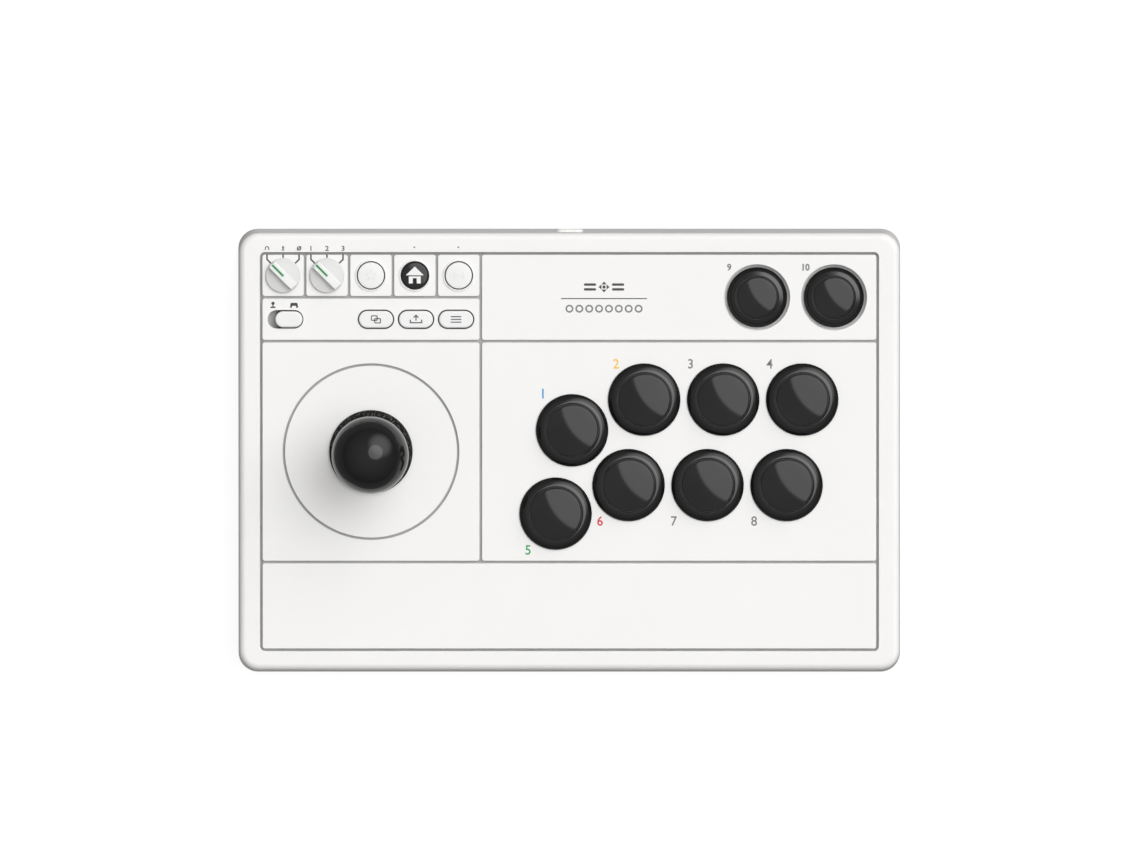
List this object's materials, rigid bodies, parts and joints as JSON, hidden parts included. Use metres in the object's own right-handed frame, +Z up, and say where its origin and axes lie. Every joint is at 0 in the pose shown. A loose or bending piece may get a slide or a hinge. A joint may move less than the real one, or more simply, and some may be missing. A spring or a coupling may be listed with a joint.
{
  "type": "arcade joystick panel",
  "caption": "Flat-box arcade stick controller: ball-top lever, round push buttons, mode dials and small keys on a white panel.",
  "frame": {"origin": "on the table, under the middle of the whole object's footprint", "axes": "+X to the player's right, along the long side; +Y away from the player; +Z up"},
  "size_m": [0.303, 0.2038, 0.1115],
  "materials": {
    "shell_white": "fine satin moulded ABS",
    "faceplate_white": "fine satin moulded ABS",
    "key_white": "satin",
    "home_black": "high gloss",
    "dial_white": "satin gloss, with a green pointer line",
    "button_black": "gloss",
    "plunger_black": "gloss",
    "ball_black": "high gloss",
    "washer_black": "fine matt",
    "black_nylon": "matt",
    "white_acetal": "satin",
    "steel": "zinc plated",
    "shaft_chrome": "polished",
    "foot_rubber": "matt",
    "circuit_board": "solder mask",
    "battery_wrap": "shrink wrap"
  },
  "bodies": {
    "case": {"top_shell": "shell_white", "faceplate": "faceplate_white", "base_plate": "steel", "foot_front": "foot_rubber", "foot_rear": "foot_rubber", "lever_mount_plate": "steel", "lever_housing": "black_nylon", "lever_switch_board": "circuit_board", "lever_gate": "black_nylon", "control_board": "circuit_board", "main_board": "circuit_board", "usb_port": "steel", "battery": "battery_wrap", "button_far_1_housing": "button_black", "button_far_2_housing": "button_black", "button_far_3_housing": "button_black", "button_far_4_housing": "button_black", "button_near_1_housing": "button_black", "button_near_2_housing": "button_black", "button_near_3_housing": "button_black", "button_near_4_housing": "button_black", "button_small_1_housing": "button_black", "button_small_2_housing": "button_black", "button_far_1_switch": "black_nylon", "button_far_2_switch": "black_nylon", "button_far_3_switch": "black_nylon", "button_far_4_switch": "black_nylon", "button_near_1_switch": "black_nylon", "button_near_2_switch": "black_nylon", "button_near_3_switch": "black_nylon", "button_near_4_switch": "black_nylon", "button_small_1_switch": "black_nylon", "button_small_2_switch": "black_nylon"},
    "lever_pitch": {"lever_pivot_ball": "white_acetal"},
    "lever_roll": {"lever_spring_seat": "white_acetal", "lever_spring": "steel"},
    "lever_stem": {"lever_shaft": "shaft_chrome", "ball_top": "ball_black", "lever_actuator": "black_nylon", "lever_e_clip": "steel"},
    "washer": {"dust_washer": "washer_black"},
    "button_far_1": {"button_far_1_plunger": "plunger_black"},
    "button_far_2": {"button_far_2_plunger": "plunger_black"},
    "button_far_3": {"button_far_3_plunger": "plunger_black"},
    "button_far_4": {"button_far_4_plunger": "plunger_black"},
    "button_near_1": {"button_near_1_plunger": "plunger_black"},
    "button_near_2": {"button_near_2_plunger": "plunger_black"},
    "button_near_3": {"button_near_3_plunger": "plunger_black"},
    "button_near_4": {"button_near_4_plunger": "plunger_black"},
    "button_small_1": {"button_small_1_plunger": "plunger_black"},
    "button_small_2": {"button_small_2_plunger": "plunger_black"},
    "star_key_cap": {"star_key": "key_white"},
    "home_key_cap": {"home_key": "home_black"},
    "pair_key_cap": {"pair_key": "key_white"},
    "view_key_cap": {"view_key": "key_white"},
    "share_key_cap": {"share_key": "key_white"},
    "menu_key_cap": {"menu_key": "key_white"},
    "dial_left_knob": {"dial_left": "dial_white"},
    "dial_right_knob": {"dial_right": "dial_white"},
    "slide_switch": {"slide_switch_knob": "key_white"}
  },
  "joints": [
    {"name": "lever_front_back", "type": "hinge", "parent": "case", "child": "lever_pitch", "pos_m": [-0.0904, 0.00076, 0.041], "axis": [1, 0, 0], "range_deg": [-8.5, 8.5], "stiffness_Nm_per_rad": 0.9},
    {"name": "lever_left_right", "type": "hinge", "parent": "lever_pitch", "child": "lever_roll", "pos_m": [-0.0904, 0.00076, 0.041], "axis": [0, 1, 0], "range_deg": [-8.5, 8.5], "stiffness_Nm_per_rad": 0.9},
    {"name": "lever_turn", "type": "hinge", "parent": "lever_roll", "child": "lever_stem", "pos_m": [-0.0904, 0.00076, 0.041], "axis": [0, 0, 1], "continuous": true},
    {"name": "washer_drag", "type": "slide", "parent": "case", "child": "washer", "axis": [1, 0, 0], "range_m": [-0.0019, 0.0019]},
    {"name": "button_far_1_press", "type": "slide", "parent": "case", "child": "button_far_1", "axis": [0, 0, -1], "range_m": [0, 0.0025], "stiffness_N_per_m": 250, "springref_m": -0.002},
    {"name": "button_far_2_press", "type": "slide", "parent": "case", "child": "button_far_2", "axis": [0, 0, -1], "range_m": [0, 0.0025], "stiffness_N_per_m": 250, "springref_m": -0.002},
    {"name": "button_far_3_press", "type": "slide", "parent": "case", "child": "button_far_3", "axis": [0, 0, -1], "range_m": [0, 0.0025], "stiffness_N_per_m": 250, "springref_m": -0.002},
    {"name": "button_far_4_press", "type": "slide", "parent": "case", "child": "button_far_4", "axis": [0, 0, -1], "range_m": [0, 0.0025], "stiffness_N_per_m": 250, "springref_m": -0.002},
    {"name": "button_near_1_press", "type": "slide", "parent": "case", "child": "button_near_1", "axis": [0, 0, -1], "range_m": [0, 0.0025], "stiffness_N_per_m": 250, "springref_m": -0.002},
    {"name": "button_near_2_press", "type": "slide", "parent": "case", "child": "button_near_2", "axis": [0, 0, -1], "range_m": [0, 0.0025], "stiffness_N_per_m": 250, "springref_m": -0.002},
    {"name": "button_near_3_press", "type": "slide", "parent": "case", "child": "button_near_3", "axis": [0, 0, -1], "range_m": [0, 0.0025], "stiffness_N_per_m": 250, "springref_m": -0.002},
    {"name": "button_near_4_press", "type": "slide", "parent": "case", "child": "button_near_4", "axis": [0, 0, -1], "range_m": [0, 0.0025], "stiffness_N_per_m": 250, "springref_m": -0.002},
    {"name": "button_small_1_press", "type": "slide", "parent": "case", "child": "button_small_1", "axis": [0, 0, -1], "range_m": [0, 0.0022], "stiffness_N_per_m": 250, "springref_m": -0.002},
    {"name": "button_small_2_press", "type": "slide", "parent": "case", "child": "button_small_2", "axis": [0, 0, -1], "range_m": [0, 0.0022], "stiffness_N_per_m": 250, "springref_m": -0.002},
    {"name": "star_key_press", "type": "slide", "parent": "case", "child": "star_key_cap", "axis": [0, 0, -1], "range_m": [0, 0.0008], "stiffness_N_per_m": 1200, "springref_m": -0.0005},
    {"name": "home_key_press", "type": "slide", "parent": "case", "child": "home_key_cap", "axis": [0, 0, -1], "range_m": [0, 0.0008], "stiffness_N_per_m": 1200, "springref_m": -0.0005},
    {"name": "pair_key_press", "type": "slide", "parent": "case", "child": "pair_key_cap", "axis": [0, 0, -1], "range_m": [0, 0.0008], "stiffness_N_per_m": 1200, "springref_m": -0.0005},
    {"name": "view_key_press", "type": "slide", "parent": "case", "child": "view_key_cap", "axis": [0, 0, -1], "range_m": [0, 0.0008], "stiffness_N_per_m": 1200, "springref_m": -0.0005},
    {"name": "share_key_press", "type": "slide", "parent": "case", "child": "share_key_cap", "axis": [0, 0, -1], "range_m": [0, 0.0008], "stiffness_N_per_m": 1200, "springref_m": -0.0005},
    {"name": "menu_key_press", "type": "slide", "parent": "case", "child": "menu_key_cap", "axis": [0, 0, -1], "range_m": [0, 0.0008], "stiffness_N_per_m": 1200, "springref_m": -0.0005},
    {"name": "dial_left_turn", "type": "hinge", "parent": "case", "child": "dial_left_knob", "pos_m": [-0.1304, 0.08111, 0.053], "axis": [0, 0, 1], "range_deg": [-90, 0]},
    {"name": "dial_right_turn", "type": "hinge", "parent": "case", "child": "dial_right_knob", "pos_m": [-0.1104, 0.08111, 0.053], "axis": [0, 0, 1], "range_deg": [-90, 0]},
    {"name": "slide_switch_travel", "type": "slide", "parent": "case", "child": "slide_switch", "axis": [-1, 0, 0], "range_m": [0, 0.003]}
  ],
  "couplings": [
    {"joint": "washer_drag", "follows": "lever_left_right", "m_per_rad": 0.0128}
  ]
}
